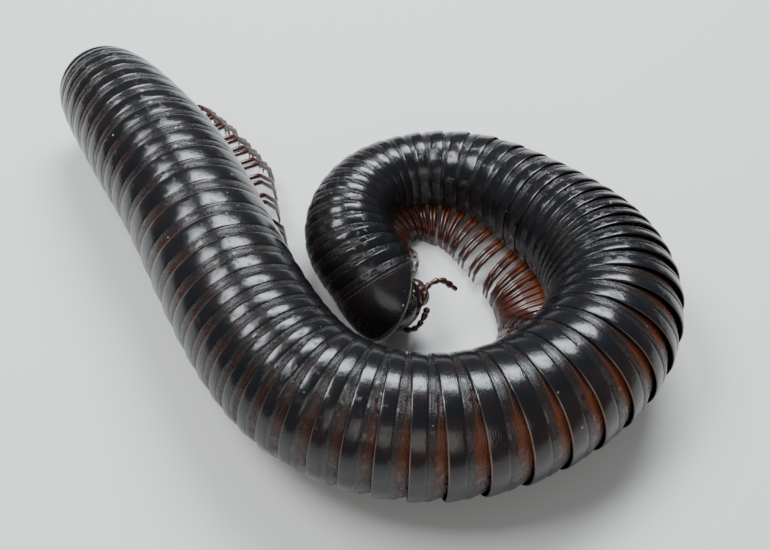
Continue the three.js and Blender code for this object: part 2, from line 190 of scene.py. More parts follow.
def loft(name, grid, places, hoop=False):
    """Joins grids of points, shaped copies by rows by columns by 3, into one mesh in metres. Columns always
    close on themselves. Rows close too for a hoop, and otherwise each end row closes on its middle point.
    places gives a vector of the same shape for the materials. Copies whose volume is below 0 are turned."""
    copies, rows, columns, _ = grid.shape
    if not hoop:
        grid = np.concatenate([grid.reshape(copies, -1, 3), grid[:, [0, -1]].mean(axis=2)], axis=1)
        places = np.concatenate([places.reshape(copies, -1, 3), places[:, [0, -1]].mean(axis=2)], axis=1)
    points = grid.reshape(copies, -1, 3)
    near = np.arange(rows if hoop else rows - 1)[:, None] * columns
    far = (near + columns) % (rows * columns)
    j = np.arange(columns)[None, :]
    k = (j + 1) % columns
    quads = np.stack([near + j, near + k, far + k, far + j], axis=-1).reshape(-1, 4)
    first_fan = np.stack([0 * j + rows * columns, k, j], axis=-1).reshape(-1, 3)
    last_row = (rows - 1) * columns
    last_fan = np.stack([0 * j + rows * columns + 1, last_row + j, last_row + k], axis=-1).reshape(-1, 3)
    fans = np.zeros((0, 3), int) if hoop else np.vstack([first_fan, last_fan])
    halves = np.vstack([quads[:, :3], quads[:, [0, 2, 3]], fans])
    a, b, c = (points[:, halves[:, n]] for n in range(3))
    volume = np.einsum("nfi,nfi->n", a - points[:, :1], np.cross(b - points[:, :1], c - points[:, :1]))
    start = np.arange(copies)[:, None, None] * points.shape[1]
    turned = (volume < 0)[:, None, None]
    quads = np.where(turned, quads[None, :, ::-1], quads[None]) + start
    fans = np.where(turned, fans[None, :, ::-1], fans[None]) + start
    corners = np.concatenate([quads.ravel(), fans.ravel()])
    sizes = np.concatenate([np.full(quads.size // 4, 4), np.full(fans.size // 3, 3)])
    mesh = bpy.data.meshes.new(name)
    mesh.vertices.add(points.size // 3)
    mesh.vertices.foreach_set("co", (points * MM).astype(np.float32).ravel())
    mesh.loops.add(len(corners))
    mesh.loops.foreach_set("vertex_index", corners.astype(np.int32))
    mesh.polygons.add(len(sizes))
    mesh.polygons.foreach_set("loop_start", (np.cumsum(sizes) - sizes).astype(np.int32))
    mesh.polygons.foreach_set("use_smooth", np.ones(len(sizes), bool))
    mesh.update(calc_edges=True)
    mesh.attributes.new("place", "FLOAT_VECTOR", "POINT")
    mesh.attributes["place"].data.foreach_set("vector", places.astype(np.float32).ravel())
    made = bpy.data.objects.new(name, mesh)
    bpy.context.scene.collection.objects.link(made)
    return made


def place_grid(shape, *parts):
    """Spreads the three parts of the place attribute over a grid of this shape."""
    return np.stack([np.broadcast_to(part, shape) for part in parts], axis=-1)


def finish_piece(piece, material, slot, *nodes):
    """Gives a piece its material and its body, and hides the solids that it stands for. The slot is not
    used.
    """
    piece.data.materials.append(material)
    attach(piece, "root")
    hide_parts(*nodes)


def node(tree, kind, inputs=None, **settings):
    """Adds a shader node. An input is linked where it is given a socket, and set where it is a value."""
    made = tree.nodes.new(kind)
    for key, value in settings.items():
        setattr(made, key, value)
    for key, value in (inputs or {}).items():
        if isinstance(value, bpy.types.NodeSocket):
            tree.links.new(value, made.inputs[key])
        else:
            made.inputs[key].default_value = value
    return made


def math_node(tree, operation, a, b=0.5, c=0.5):
    """One sum of a shader: the operation on up to three values or sockets."""
    return node(tree, "ShaderNodeMath", {0: a, 1: b, 2: c}, operation=operation).outputs[0]


def ramp(tree, value, low, high, start=0.0, end=1.0):
    """Carries value smoothly from start at low to end at high."""
    inputs = {"Value": value, "From Min": low, "From Max": high, "To Min": start, "To Max": end}
    return node(tree, "ShaderNodeMapRange", inputs, interpolation_type="SMOOTHSTEP").outputs["Result"]


def bump_between(tree, value, low, high, soft):
    """1 where value lies between low and high, 0 outside, over a soft edge."""
    rising = ramp(tree, value, low - soft, low + soft)
    falling = ramp(tree, value, high - soft, high + soft, 1.0, 0.0)
    return math_node(tree, "MULTIPLY", rising, falling)


def mix_colour(tree, share, a, b):
    """Colour a, with a share of colour b over it."""
    return node(tree, "ShaderNodeMix", {0: share, 6: a, 7: b}, data_type="RGBA").outputs[2]


def new_group(name, inputs, outputs):
    """An empty node group with these named inputs, as type and standing value, and outputs, as type."""
    tree = bpy.data.node_groups.new(name, "ShaderNodeTree")
    for key, (kind, value) in inputs.items():
        tree.interface.new_socket(key, in_out="INPUT", socket_type=kind).default_value = value
    for key, kind in outputs.items():
        tree.interface.new_socket(key, in_out="OUTPUT", socket_type=kind)
    return tree, node(tree, "NodeGroupInput").outputs, node(tree, "NodeGroupOutput").inputs


FLOAT = "NodeSocketFloat"
COLOUR = "NodeSocketColor"

# Wear: cloudy shifts between two tints of chitin, fine scuffs, and a few pale specks of dry soil.
wear, given, out = new_group(
    "chitin_wear",
    {
        "Tint": (COLOUR, CHITIN_BLACK),
        "Second Tint": (COLOUR, CHITIN_BROWN),
        "Second Share": (FLOAT, 0.2),
        "Polish": (FLOAT, 0.25),
        "Dust": (FLOAT, 0.5),
    },
    {"Colour": COLOUR, "Roughness": FLOAT, "Height": FLOAT},
)
spot = node(wear, "ShaderNodeTexCoord").outputs["Object"]
clouds = node(wear, "ShaderNodeTexNoise", {"Vector": spot, "Scale": 260.0, "Detail": 4.0}).outputs["Fac"]
grain = node(wear, "ShaderNodeTexNoise", {"Vector": spot, "Scale": 2600.0, "Detail": 3.0}).outputs["Fac"]
cloud_share = math_node(wear, "SUBTRACT", clouds, 0.5)
cloud_share = math_node(wear, "MULTIPLY_ADD", cloud_share, 1.4, given["Second Share"])
cloud_share = node(wear, "ShaderNodeClamp", {"Value": cloud_share}).outputs[0]
tint = mix_colour(wear, cloud_share, given["Tint"], given["Second Tint"])
cells = node(wear, "ShaderNodeTexVoronoi", {"Vector": spot, "Scale": 620.0, "Randomness": 1.0})
chosen = node(wear, "ShaderNodeSeparateColor", {"Color": cells.outputs["Color"]}).outputs["Red"]
chosen = ramp(wear, chosen, 0.90, 0.93)
speck = ramp(wear, cells.outputs["Distance"], 0.07, 0.14, 1.0, 0.0)
speck = math_node(wear, "MULTIPLY", math_node(wear, "MULTIPLY", speck, chosen), given["Dust"])
wear.links.new(mix_colour(wear, speck, tint, DUST_PALE), out["Colour"])
scuffs = math_node(wear, "MULTIPLY_ADD", math_node(wear, "SUBTRACT", grain, 0.5), 0.22, given["Polish"])
wear.links.new(math_node(wear, "MULTIPLY_ADD", speck, 0.4, scuffs), out["Roughness"])
wear.links.new(math_node(wear, "MULTIPLY_ADD", speck, 2.0, grain), out["Height"])

# Striae: fine parallel lines cut across a coordinate, broken and wandering as on moulded chitin.
striae, given, out = new_group(
    "striae",
    {"Across": (FLOAT, 0.0), "Lines": (FLOAT, 8.0), "Wander": (FLOAT, 0.35), "Breaks": (FLOAT, 0.5)},
    {"Height": FLOAT},
)
spot = node(striae, "ShaderNodeTexCoord").outputs["Object"]
drift = node(striae, "ShaderNodeTexNoise", {"Vector": spot, "Scale": 330.0, "Detail": 2.0}).outputs["Fac"]
broken = node(striae, "ShaderNodeTexNoise", {"Vector": spot, "Scale": 900.0, "Detail": 1.0}).outputs["Fac"]
wandering = math_node(striae, "MULTIPLY", drift, given["Wander"])
turns = math_node(striae, "MULTIPLY_ADD", given["Across"], given["Lines"], wandering)
wave = math_node(striae, "SINE", math_node(striae, "MULTIPLY", turns, 2 * math.pi))
breaks = math_node(striae, "MULTIPLY", given["Breaks"], 0.5)
keep = ramp(striae, math_node(striae, "SUBTRACT", broken, breaks), 0.12, 0.35)
striae.links.new(math_node(striae, "MULTIPLY", wave, keep), out["Height"])


def place_group(tree, group, inputs):
    """Places a shared node group in a tree with these inputs, and gives its outputs."""
    return node(tree, "ShaderNodeGroup", inputs, node_tree=group).outputs


def new_material(name, **constants):
    """A material with its Principled shader, whose even values are set on the shader's own sockets."""
    made = bpy.data.materials.new(name)
    made.use_nodes = True
    shader = made.node_tree.nodes["Principled BSDF"]
    for key, value in constants.items():
        shader.inputs[key.replace("_", " ")].default_value = value
    return made, made.node_tree, shader


def add_bump(tree, shader, height, distance):
    """Raises the surface by height times distance, in metres."""
    bump = node(tree, "ShaderNodeBump", {"Height": height, "Distance": distance, "Strength": 1.0})
    tree.links.new(bump.outputs[0], shader.inputs["Normal"])


def place_of(tree):
    """The three parts of a piece's own place attribute."""
    attribute = node(tree, "ShaderNodeAttribute", attribute_name="place").outputs["Vector"]
    return node(tree, "ShaderNodeSeparateXYZ", {0: attribute}).outputs


ring_chitin, tree, shader = new_material(
    "ring_chitin", Coat_Weight=0.15, Coat_Roughness=0.14, Specular_IOR_Level=0.42
)
around, along, brown = place_of(tree)
spot = node(tree, "ShaderNodeTexCoord").outputs["Object"]
patches = node(tree, "ShaderNodeTexNoise", {"Vector": spot, "Scale": 150.0, "Detail": 3.0}).outputs["Fac"]
front_part = ramp(tree, along, *FRONT_END, 1.0, 0.0)
ragged = math_node(tree, "MULTIPLY_ADD", patches, 0.30, along)
band = math_node(tree, "MULTIPLY", ramp(tree, ragged, *BAND_END, 1.0, 0.0), brown)
flush = math_node(tree, "MULTIPLY", brown, 0.55)
rim = math_node(tree, "MULTIPLY", bump_between(tree, along, *RIM_STRIPE, 0.012), brown)
seam = math_node(tree, "MULTIPLY", bump_between(tree, along, *SEAM_STRIPE, 0.02), 0.35)
belly = ramp(tree, around, *BELLY_END, 1.0, 0.0)
worn = place_group(
    tree,
    wear,
    {
        "Tint": mix_colour(tree, front_part, CHITIN_BLACK, FRONT_BLACK),
        "Second Tint": CHITIN_BROWN,
        "Second Share": math_node(tree, "MULTIPLY_ADD", front_part, 0.12, flush),
        "Polish": math_node(tree, "MULTIPLY_ADD", front_part, 0.06, 0.21),
        "Dust": 0.5,
    },
)
tint = mix_colour(tree, math_node(tree, "MAXIMUM", rim, seam), worn["Colour"], RIM_PALE)
tint = mix_colour(tree, band, tint, FRONT_BAND)
tint = mix_colour(tree, belly, tint, STERNITE_BROWN)
tree.links.new(tint, shader.inputs["Base Color"])
tree.links.new(worn["Roughness"], shader.inputs["Roughness"])
front_lines = place_group(tree, striae, {"Across": along, "Lines": 22.0, "Wander": 0.9, "Breaks": 0.3})
rear_lines = place_group(tree, striae, {"Across": along, "Lines": 13.0, "Wander": 1.6, "Breaks": 0.7})
side_lines = place_group(tree, striae, {"Across": around, "Lines": 70.0, "Wander": 0.3, "Breaks": 0.2})
low_side = bump_between(tree, around, *LOW_SIDE, 0.03)
rear_part = bump_between(tree, along, *REAR_PART, 0.02)
height = math_node(tree, "MULTIPLY", front_lines["Height"], front_part)
rear_height = math_node(tree, "MULTIPLY", rear_lines["Height"], rear_part)
height = math_node(tree, "MULTIPLY_ADD", rear_height, 0.55, height)
side = math_node(tree, "MULTIPLY", math_node(tree, "MULTIPLY", low_side, rear_part), side_lines["Height"])
height = math_node(tree, "MULTIPLY_ADD", side, 1.2, height)
height = math_node(tree, "MULTIPLY_ADD", worn["Height"], 0.9, height)
add_bump(tree, shader, height, 0.020 * MM)


def body_section(phi, s):
    """The body's outline at angle phi from the middle of the belly, as shares of the girth to the left and
    up. It is a circle, pressed in along the sternites, ridged beside them, rolled, and flatter below."""
    dent = STERNITE_DEPTH * np.exp(-((phi / np.radians(STERNITE_HALF)) ** 2))
    from_ridge = (np.abs(phi) - np.radians(PLEURAL_PLACE)) / np.radians(PLEURAL_HALF)
    radius = 1 - dent + PLEURAL_RIDGE * np.exp(-(from_ridge**2))
    turned = phi + np.radians(follow(ROLL, s))
    upward = -radius * np.cos(turned)
    return radius * np.sin(turned), np.where(upward < 0, upward * BELLY, upward)


def brown_share(phi, s):
    """How brown the chitin is at angle phi and distance s: a soft bump over the angle from the top, on the
    outer flank, times the share along the body."""
    from_top = (180 - np.degrees(phi) - follow(ROLL, s) + 180) % 360 - 180
    return follow(BROWN_ALONG, s) * np.exp(-(((from_top - BROWN_ANGLE) / BROWN_SPREAD) ** 2))


ring_profile = smooth_loop(RING_PROFILE, RING_ALONG)
ring_place, ring_radius = ring_profile[:, :1], ring_profile[:, 1:]
phi = np.linspace(-math.pi, math.pi, RING_AROUND, endpoint=False)
for length in range(LENGTHS):
    number = np.arange(length * RINGS_PER_LENGTH, (length + 1) * RINGS_PER_LENGTH)[:, None, None]
    middle = (ring_edges[number] + ring_edges[number + 1]) / 2
    extent = ring_edges[number + 1] - ring_edges[number]
    behind = (ring_place - 0.5) * extent
    radius = ring_radius * girth(middle + behind)
    sideways, upward = body_section(phi[None, None, :], middle)
    at, back, left, up = station(middle)
    grid = at + back * behind[..., None] + left * (sideways * radius)[..., None]
    grid = grid + up * (upward * radius)[..., None]
    brown = brown_share(phi[None, None, :], middle)
    places = place_grid(grid.shape[:3], np.abs(phi) / math.pi, ring_place, brown)
    name = f"trunk_{length + 1:02d}"
    rings = loft(f"{name}_rings", grid, places, hoop=True)
    finish_piece(rings, ring_chitin, "plates", name)


# Legs: two pairs on each ring but the first three and the last two, of jointed red-brown chitin. They grow
# from the sternites beside the middle of the belly. The left ones arch out into the loop, and the right ones
# fold under the body.
LEG_SPREAD = 9.0
LEG_REACH = [[0, 1.5], [40, 1.62], [90, 1.6], [140, 1.66], [207, 1.62]]
LEG_TUCK = 0.75
LEG_CROWD = 0.7
LEG_SPARE = 0.5
LEG_ARCH = [[0, 0.62], [100, 0.64], [140, 0.90], [207, 0.90]]
LEG_PLACES = [0.33, 0.68]
LEG_GATHER = 0.92
LEG_SWING = 0.16
LEG_WAVE = 13
SINGLE_PAIR_RINGS = 3
LEGLESS_RINGS = 2
ROOT_DEPTH = 0.4
OTHER_STRETCH = 40
HEAD_REACH = 9
LEG_SIDES = 5
LEG_GIRTH = 9.5
FOOT_HEIGHT = 0.05
# Control points of a leg's curve: share of the way from root to foot along the body, and the same outwards.
LEG_CURVE = [[0, 0], [0.3, 0.45], [0.8, 1.12], [1, 1]]
# Share of the leg's length, and half thickness where the girth is LEG_GIRTH: a step at each joint, and the
# claw.
LEG_ROWS = [
    [0.00, 0.52], [0.15, 0.52], [0.17, 0.42], [0.36, 0.49], [0.38, 0.39], [0.57, 0.46],
    [0.59, 0.36], [0.78, 0.41], [0.80, 0.29], [0.93, 0.26], [1.00, 0.05],
]
LEG_ROOT = (0.170, 0.042, 0.013, 1)
LEG_MIDDLE = (0.055, 0.011, 0.007, 1)
LEG_TIP = (0.014, 0.006, 0.006, 1)

limb_chitin, tree, shader = new_material(
    "limb_chitin", Coat_Weight=0.4, Coat_Roughness=0.10, Specular_IOR_Level=0.5
)
along, joint = place_of(tree)[:2]
limb_tint = mix_colour(tree, ramp(tree, along, 0.05, 0.45), LEG_ROOT, LEG_MIDDLE)
limb_tint = mix_colour(tree, ramp(tree, along, 0.6, 0.95), limb_tint, LEG_TIP)
worn = place_group(
    tree,
    wear,
    {"Tint": limb_tint, "Second Tint": LEG_MIDDLE, "Second Share": 0.25, "Polish": 0.24, "Dust": 0.15},
)
joint_edge = ramp(tree, joint, 0.0, 0.2, 1.0, 0.0)
tint = mix_colour(tree, math_node(tree, "MULTIPLY", joint_edge, 0.35), worn["Colour"], LEG_ROOT)
tree.links.new(tint, shader.inputs["Base Color"])
tree.links.new(worn["Roughness"], shader.inputs["Roughness"])
add_bump(tree, shader, worn["Height"], 0.008 * MM)


def room_on_left(s):
    """How far a left leg may reach before it meets another stretch of the body: the distance to each
    station beyond it, shared between the two in the proportion of their girths. The least one counts."""
    at, _, left, _ = station(s)
    other = np.arange(-HEAD_REACH, TRUNK_LENGTH)
    away = (station(other)[0][None] - at[:, None])[..., :2]
    distance = np.linalg.norm(away, axis=-1)
    share = distance * girth(s)[:, None] / (girth(s)[:, None] + girth(other)[None])
    beside = (np.abs(other[None] - s[:, None]) > OTHER_STRETCH) & ((away * left[:, None, :2]).sum(-1) > 0)
    return np.where(beside, share, np.inf).min(axis=1) - LEG_SPARE


def leg_paths(s, side, middle, extent, count):
    """Four control points of each leg's curve. The root lies on the belly, the left leg arches up and over,
    and its foot hooks down to the floor as far out as the bend leaves room. A walking wave swings it."""
    half = girth(s)
    angle = np.radians(follow(ROLL, s) + side * LEG_SPREAD)
    lean = station(s)[1][:, 2]
    drop = BELLY * half * np.cos(angle) - ROOT_DEPTH
    root_s = s + drop * lean
    root_out = half * np.sin(angle)
    root_high = axis_height(s) - drop * np.sqrt(1 - lean**2)
    turn = np.radians(follow(COURSE, s + 2) - follow(COURSE, s - 2)) / 4
    crowd = LEG_CROWD / np.maximum(-turn, 1e-4)
    reach = np.minimum(np.minimum(follow(LEG_REACH, s) * half, crowd), room_on_left(s))
    foot_out = np.where(side > 0, reach, root_out - LEG_TUCK * half)
    wave = np.sin(2 * math.pi * count / LEG_WAVE + side)
    foot_s = middle + (s - middle) * LEG_GATHER + LEG_SWING * extent * wave + half * lean
    arch = np.where(side > 0, follow(LEG_ARCH, s) * half, root_high)
    points = []
    for (share, out_share), high in zip(LEG_CURVE, (root_high, arch, arch, FOOT_HEIGHT)):
        at, _, left, _ = station(root_s + (foot_s - root_s) * share)
        point = at + left * (root_out + (foot_out - root_out) * out_share)[:, None]
        point[:, 2] = high
        points.append(point)
    return points


def tube(path, radius, sides, start_side):
    """Rings of points round a path, at these radii. Each ring lies square to the path's own direction, and
    its first point is turned as near to start_side as that allows."""
    ahead = np.gradient(path, axis=-2)
    ahead /= np.linalg.norm(ahead, axis=-1, keepdims=True)
    first = start_side - (start_side * ahead).sum(-1, keepdims=True) * ahead
    first /= np.linalg.norm(first, axis=-1, keepdims=True)
    second = np.cross(ahead, first)
    turn = np.linspace(0, 2 * math.pi, sides, endpoint=False)[:, None]
    ring = first[..., None, :] * np.cos(turn) + second[..., None, :] * np.sin(turn)
    return path[..., None, :] + ring * np.asarray(radius)[..., None, None]


UPWARDS = np.array([0.0, 0.0, 1.0])
leg_rows = np.array(LEG_ROWS)
leg_joint = np.where(np.arange(len(leg_rows)) % 2 == 0, 0.0, 1.0)[:, None]
for length in range(LENGTHS):
    numbers = np.arange(length * RINGS_PER_LENGTH, (length + 1) * RINGS_PER_LENGTH)
    numbers = numbers[numbers < RINGS - LEGLESS_RINGS]
    pairs = [(k, pair) for k in numbers for pair in (0, 1) if k >= SINGLE_PAIR_RINGS or pair == 1]
    k, pair = np.array(pairs).T
    k, pair, side = np.repeat(k, 2), np.repeat(pair, 2), np.tile([1, -1], len(pairs))
    extent = ring_edges[k + 1] - ring_edges[k]
    s = ring_edges[k] + np.array(LEG_PLACES)[pair] * extent
    middle = (ring_edges[length * RINGS_PER_LENGTH] + ring_edges[(length + 1) * RINGS_PER_LENGTH]) / 2
    root, rise, fall, foot = (point[:, None] for point in leg_paths(s, side, middle, extent, 2 * k + pair))
    t = leg_rows[:, :1]
    path = (1 - t) ** 3 * root + 3 * t * (1 - t) ** 2 * rise + 3 * t**2 * (1 - t) * fall + t**3 * foot
    size = (girth(s) / LEG_GIRTH) ** 0.5
    grid = tube(path, leg_rows[None, :, 1] * size[:, None], LEG_SIDES, UPWARDS)
    places = place_grid(grid.shape[:3], t, leg_joint, 0.0)
    name = f"trunk_{length + 1:02d}"
    finish_piece(loft(f"{name}_legs", grid, places), limb_chitin, "limbs", name)


# Collum: the first shield, a smooth black hood of thick chitin that covers the back of the head. It is one
# plate, open below, with two fine furrows behind and a thin pale rim along its free edge.
COLLUM_SIZE = [7.1, 11.7, 7.1]
COLLUM_FULL = 2.5
COLLUM_NOD = 11.0
COLLUM_MARGIN = [-0.7, 34.0]
COLLUM_WALL = 0.45
COLLUM_ACROSS = 99
COLLUM_OVER = 48
LEAST_SWING = 0.03
HALVINGS = 30
# Markings: furrows, and the painted highlight on the fold between them, in millimetres forward of the neck
# joint. The rest are shares of the swing.
REAR_FURROW = [0.42, 0.58]
FRONT_FURROW = [0.92, 1.0]
FOLD_HIGHLIGHT = [0.62, 0.78]
EDGE_FURROW = [0.945, 0.960]
RIM_START = [0.962, 0.972]
FURROW_DEPTH = 6.0
COLLUM_RIM = (0.125, 0.130, 0.085, 1)
neck_at, neck_back, neck_left, neck_up = station(0.0)
neck_roll = math.radians(ROLL[0][1])
neck_turn = np.array([
    [math.cos(neck_roll), 0, math.sin(neck_roll)],
    [0, 1, 0],
    [-math.sin(neck_roll), 0, math.cos(neck_roll)],
])


def on_collum(points):
    """Turns points given to the animal's left, forward and up from the neck joint into the scene. The head
    end is rolled with the rest of the body, so that its underside faces into the loop."""
    return neck_at + points @ neck_turn @ np.stack([neck_left, -neck_back, neck_up])


def collum_surface(across, over, inset):
    """The hood as a dome spanned from side to side. across turns from the right to the left side and over
    swings the half circle between them from the top forward and down to the free edge. The dome is round
    from the back and fuller than an ellipse from above, and curls down towards its front."""
    size = np.array(COLLUM_SIZE) - inset
    x = np.sin(across)
    y = np.cos(across) * np.sin(over)
    z = np.cos(across) * np.cos(over)
    flat = (x / size[0]) ** 2 + (z / size[2]) ** 2
    reach = (flat ** (COLLUM_FULL / 2) + (np.abs(y) / size[1]) ** COLLUM_FULL) ** (-1 / COLLUM_FULL)
    x, y, z = x * reach, y * reach, z * reach
    curl = np.radians(COLLUM_NOD) * (y / COLLUM_SIZE[1]) ** 2
    return np.stack([x, y * np.cos(curl) + z * np.sin(curl), z * np.cos(curl) - y * np.sin(curl)], axis=-1)


def collum_edge(across):
    """How far the hood swings at each place across: to where it meets the sloping plane of its free edge,
    found by halving."""
    low, high = np.full_like(across, LEAST_SWING), np.full_like(across, math.pi)
    for _ in range(HALVINGS):
        middle = (low + high) / 2
        point = collum_surface(across, middle, 0.0)
        above = point[..., 2] > COLLUM_MARGIN[0] + math.tan(math.radians(COLLUM_MARGIN[1])) * point[..., 1]
        low = np.where(above, middle, low)
        high = np.where(above, high, middle)
    return low


across = np.linspace(-math.pi / 2, math.pi / 2, COLLUM_ACROSS)[1:-1][:, None]
outside = np.linspace(0, 1, COLLUM_OVER)[None, :]
edge = collum_edge(across)
outer = collum_surface(across, outside * edge, 0.0)
inner = collum_surface(across, outside[:, ::-1] * edge, COLLUM_WALL)
grid = np.concatenate([outer, inner], axis=1)[None]
swing = np.concatenate([outside, outside[:, ::-1]], axis=1)
places = place_grid(grid.shape[:3], swing, grid[..., 1], 0.0)

shield_chitin, tree, shader = new_material(
    "shield_chitin", Coat_Weight=0.15, Coat_Roughness=0.14, Specular_IOR_Level=0.42
)
swing, forward = place_of(tree)[:2]
worn = place_group(
    tree,
    wear,
    {"Tint": CHITIN_BLACK, "Second Tint": CHITIN_BROWN, "Second Share": 0.12, "Polish": 0.27, "Dust": 1.0},
)
tint = mix_colour(tree, ramp(tree, swing, *RIM_START), worn["Colour"], COLLUM_RIM)
# The fold between the two rear furrows is painted paler. This is a painted highlight on its ridge.
fold_highlight = bump_between(tree, forward, *FOLD_HIGHLIGHT, 0.06)
tint = mix_colour(tree, math_node(tree, "MULTIPLY", fold_highlight, 0.25), tint, RIM_PALE)
tree.links.new(tint, shader.inputs["Base Color"])
tree.links.new(worn["Roughness"], shader.inputs["Roughness"])
rear_furrow = bump_between(tree, forward, *REAR_FURROW, 0.06)
front_furrow = bump_between(tree, forward, *FRONT_FURROW, 0.05)
edge_furrow = bump_between(tree, swing, *EDGE_FURROW, 0.006)
furrows = math_node(tree, "ADD", rear_furrow, front_furrow)
furrows = math_node(tree, "MAXIMUM", furrows, edge_furrow)
height = math_node(tree, "MULTIPLY_ADD", furrows, -FURROW_DEPTH, worn["Height"])
add_bump(tree, shader, height, 0.014 * MM)
finish_piece(loft("collum_shield", on_collum(grid), places), shield_chitin, "plates", "collum")


# Head: a round capsule of black chitin bent down under the collum, with a notched lip in front. Its eyes
# are patches of small lenses, and the jaws and the chin plate close it below.
HEAD_SIZE = [4.8, 4.3, 4.0]
HEAD_PLACE = [0, 4.2, -0.8]
HEAD_FINENESS = [56, 72]
# Forms of the head: direction, width, and height as a share of its size. The sockets of the two feelers,
# the swollen lip, and the notch in it.
HEAD_FORMS = [
    [[0.62, 0.75, -0.12], 0.22, -0.07], [[-0.62, 0.75, -0.12], 0.22, -0.07],
    [[0, 0.8, -0.75], 0.5, 0.03], [[0, 0.62, -0.95], 0.10, -0.10],
]
CROWN_DEPTH = 0.012
CROWN_WIDTH = 0.03


def directions(rows, columns):
    """Unit directions all round, in rows from the back pole to the front pole."""
    polar = np.linspace(0, math.pi, rows + 2)[1:-1][:, None]
    turn = np.linspace(0, 2 * math.pi, columns, endpoint=False)[None]
    side = np.sin(polar) * np.cos(turn)
    high = np.sin(polar) * np.sin(turn)
    return np.stack([side, np.broadcast_to(-np.cos(polar), side.shape), high], axis=-1)


def dimple(way, centre, width):
    """A round bump of height 1 about one direction, which fades over width."""
    centre = np.array(centre) / np.linalg.norm(centre)
    return np.exp(-((1 - way @ centre) * 2 / width**2))


way = directions(*HEAD_FINENESS)
swell = 1 + sum(height * dimple(way, centre, width) for centre, width, height in HEAD_FORMS)
swell -= CROWN_DEPTH * np.exp(-((way[..., 0] / CROWN_WIDTH) ** 2)) * smoothstep(-0.1, 0.3, way[..., 2])
head = (way * swell[..., None] * HEAD_SIZE + HEAD_PLACE)[None]
finish_piece(loft("head_capsule", on_collum(head), 0 * head), shield_chitin, "plates", "head")

# Jaws and chin: bulging plates of red-brown chitin that close the head below. Each jaw has one curved groove
# between its parts, and the chin plate has two straight ones on its underside.
MANDIBLE_SIZE = [1.6, 2.3, 1.7]
MANDIBLE_PLACE = [3.0, 4.8, -3.5]
CHIN_SIZE = [1.5, 2.2, 1.2]
CHIN_PLACE = [0, 5.0, -4.9]
MOUTH_FINENESS = [28, 36]
JAW_GROOVE_DEPTH = 0.07
JAW_GROOVE_PLACE = -0.25
JAW_GROOVE_CURVE = 0.2
JAW_GROOVE_WIDTH = 0.09
CHIN_GROOVE_DEPTH = 0.08
CHIN_GROOVE_PLACE = 0.33
CHIN_GROOVE_WIDTH = 0.07
MOUTH_BROWN = (0.060, 0.020, 0.012, 1)

mouth_chitin, tree, shader = new_material(
    "mouth_chitin", Coat_Weight=0.4, Coat_Roughness=0.12, Specular_IOR_Level=0.5
)
worn = place_group(
    tree,
    wear,
    {"Tint": MOUTH_BROWN, "Second Tint": CHITIN_BLACK, "Second Share": 0.35, "Polish": 0.28, "Dust": 0.2},
)
tree.links.new(worn["Colour"], shader.inputs["Base Color"])
tree.links.new(worn["Roughness"], shader.inputs["Roughness"])
add_bump(tree, shader, worn["Height"], 0.01 * MM)

way = directions(*MOUTH_FINENESS)
for name, side in (("left", 1), ("right", -1)):
    from_groove = way[..., 1] - JAW_GROOVE_PLACE - JAW_GROOVE_CURVE * way[..., 2] ** 2
    groove = 1 - JAW_GROOVE_DEPTH * np.exp(-((from_groove / JAW_GROOVE_WIDTH) ** 2))
    jaw = way * groove[..., None] * MANDIBLE_SIZE * [side, 1, 1]
    jaw = jaw + np.array(MANDIBLE_PLACE) * [side, 1, 1]
    jaw = loft(f"mandible_{name}_plate", on_collum(jaw[None]), 0 * jaw[None])
    finish_piece(jaw, mouth_chitin, "plates", f"mandible_{name}")
from_groove = (np.abs(way[..., 0]) - CHIN_GROOVE_PLACE) / CHIN_GROOVE_WIDTH
groove = 1 - CHIN_GROOVE_DEPTH * np.exp(-(from_groove**2)) * smoothstep(0.3, 0.0, way[..., 2])
chin = way * groove[..., None] * CHIN_SIZE + CHIN_PLACE
chin = loft("chin_plate_shield", on_collum(chin[None]), 0 * chin[None])
finish_piece(chin, mouth_chitin, "limbs", "chin_plate")

# Eyes: on each side of the head a flat oval patch of forty-seven tiny glossy black lenses in staggered rows,
# half sunk in the chitin of the capsule.
EYE_SIZE = [0.9, 1.1, 0.8]
EYE_PLACE = [4.0, 6.0, 0.6]
LENS_SIZE = 0.14
LENS_APART = [1.9, 1.65]
LENS_ROWS = 5
LENS_RISE = 0.02
EYE_BLACK = (0.006, 0.006, 0.007, 1)
eye_facets, tree, shader = new_material(
    "eye_facets", Coat_Weight=1.0, Coat_Roughness=0.03, Specular_IOR_Level=0.6, Roughness=0.12
)
worn = place_group(
    tree,
    wear,
    {"Tint": EYE_BLACK, "Second Tint": CHITIN_BROWN, "Second Share": 0.1, "Polish": 0.1, "Dust": 0.0},
)
tree.links.new(worn["Colour"], shader.inputs["Base Color"])

lens_rows = np.arange(-LENS_ROWS, LENS_ROWS + 1)
row, column = np.meshgrid(lens_rows, lens_rows, indexing="ij")
lens_y = (column + 0.5 * (row % 2)) * LENS_SIZE * LENS_APART[0]
lens_z = row * LENS_SIZE * LENS_APART[1]
inside = (lens_y / EYE_SIZE[1]) ** 2 + (lens_z / EYE_SIZE[2]) ** 2 < 1
lens_y, lens_z = lens_y[inside], lens_z[inside]
lens_way = directions(5, 8)
for name, side in (("left", 1), ("right", -1)):
    y = EYE_PLACE[1] + lens_y
    z = EYE_PLACE[2] + lens_z
    fall = 1 - ((y - HEAD_PLACE[1]) / HEAD_SIZE[1]) ** 2 - ((z - HEAD_PLACE[2]) / HEAD_SIZE[2]) ** 2
    x = side * (HEAD_SIZE[0] * np.sqrt(np.maximum(fall, 0.05)) + LENS_RISE)
    centres = np.stack([x, y, z], axis=-1)
    lenses = centres[:, None, None] + lens_way * LENS_SIZE
    lenses = loft(f"eye_{name}_lenses", on_collum(lenses), 0 * lenses)
    finish_piece(lenses, eye_facets, "eyes", f"eye_{name}")


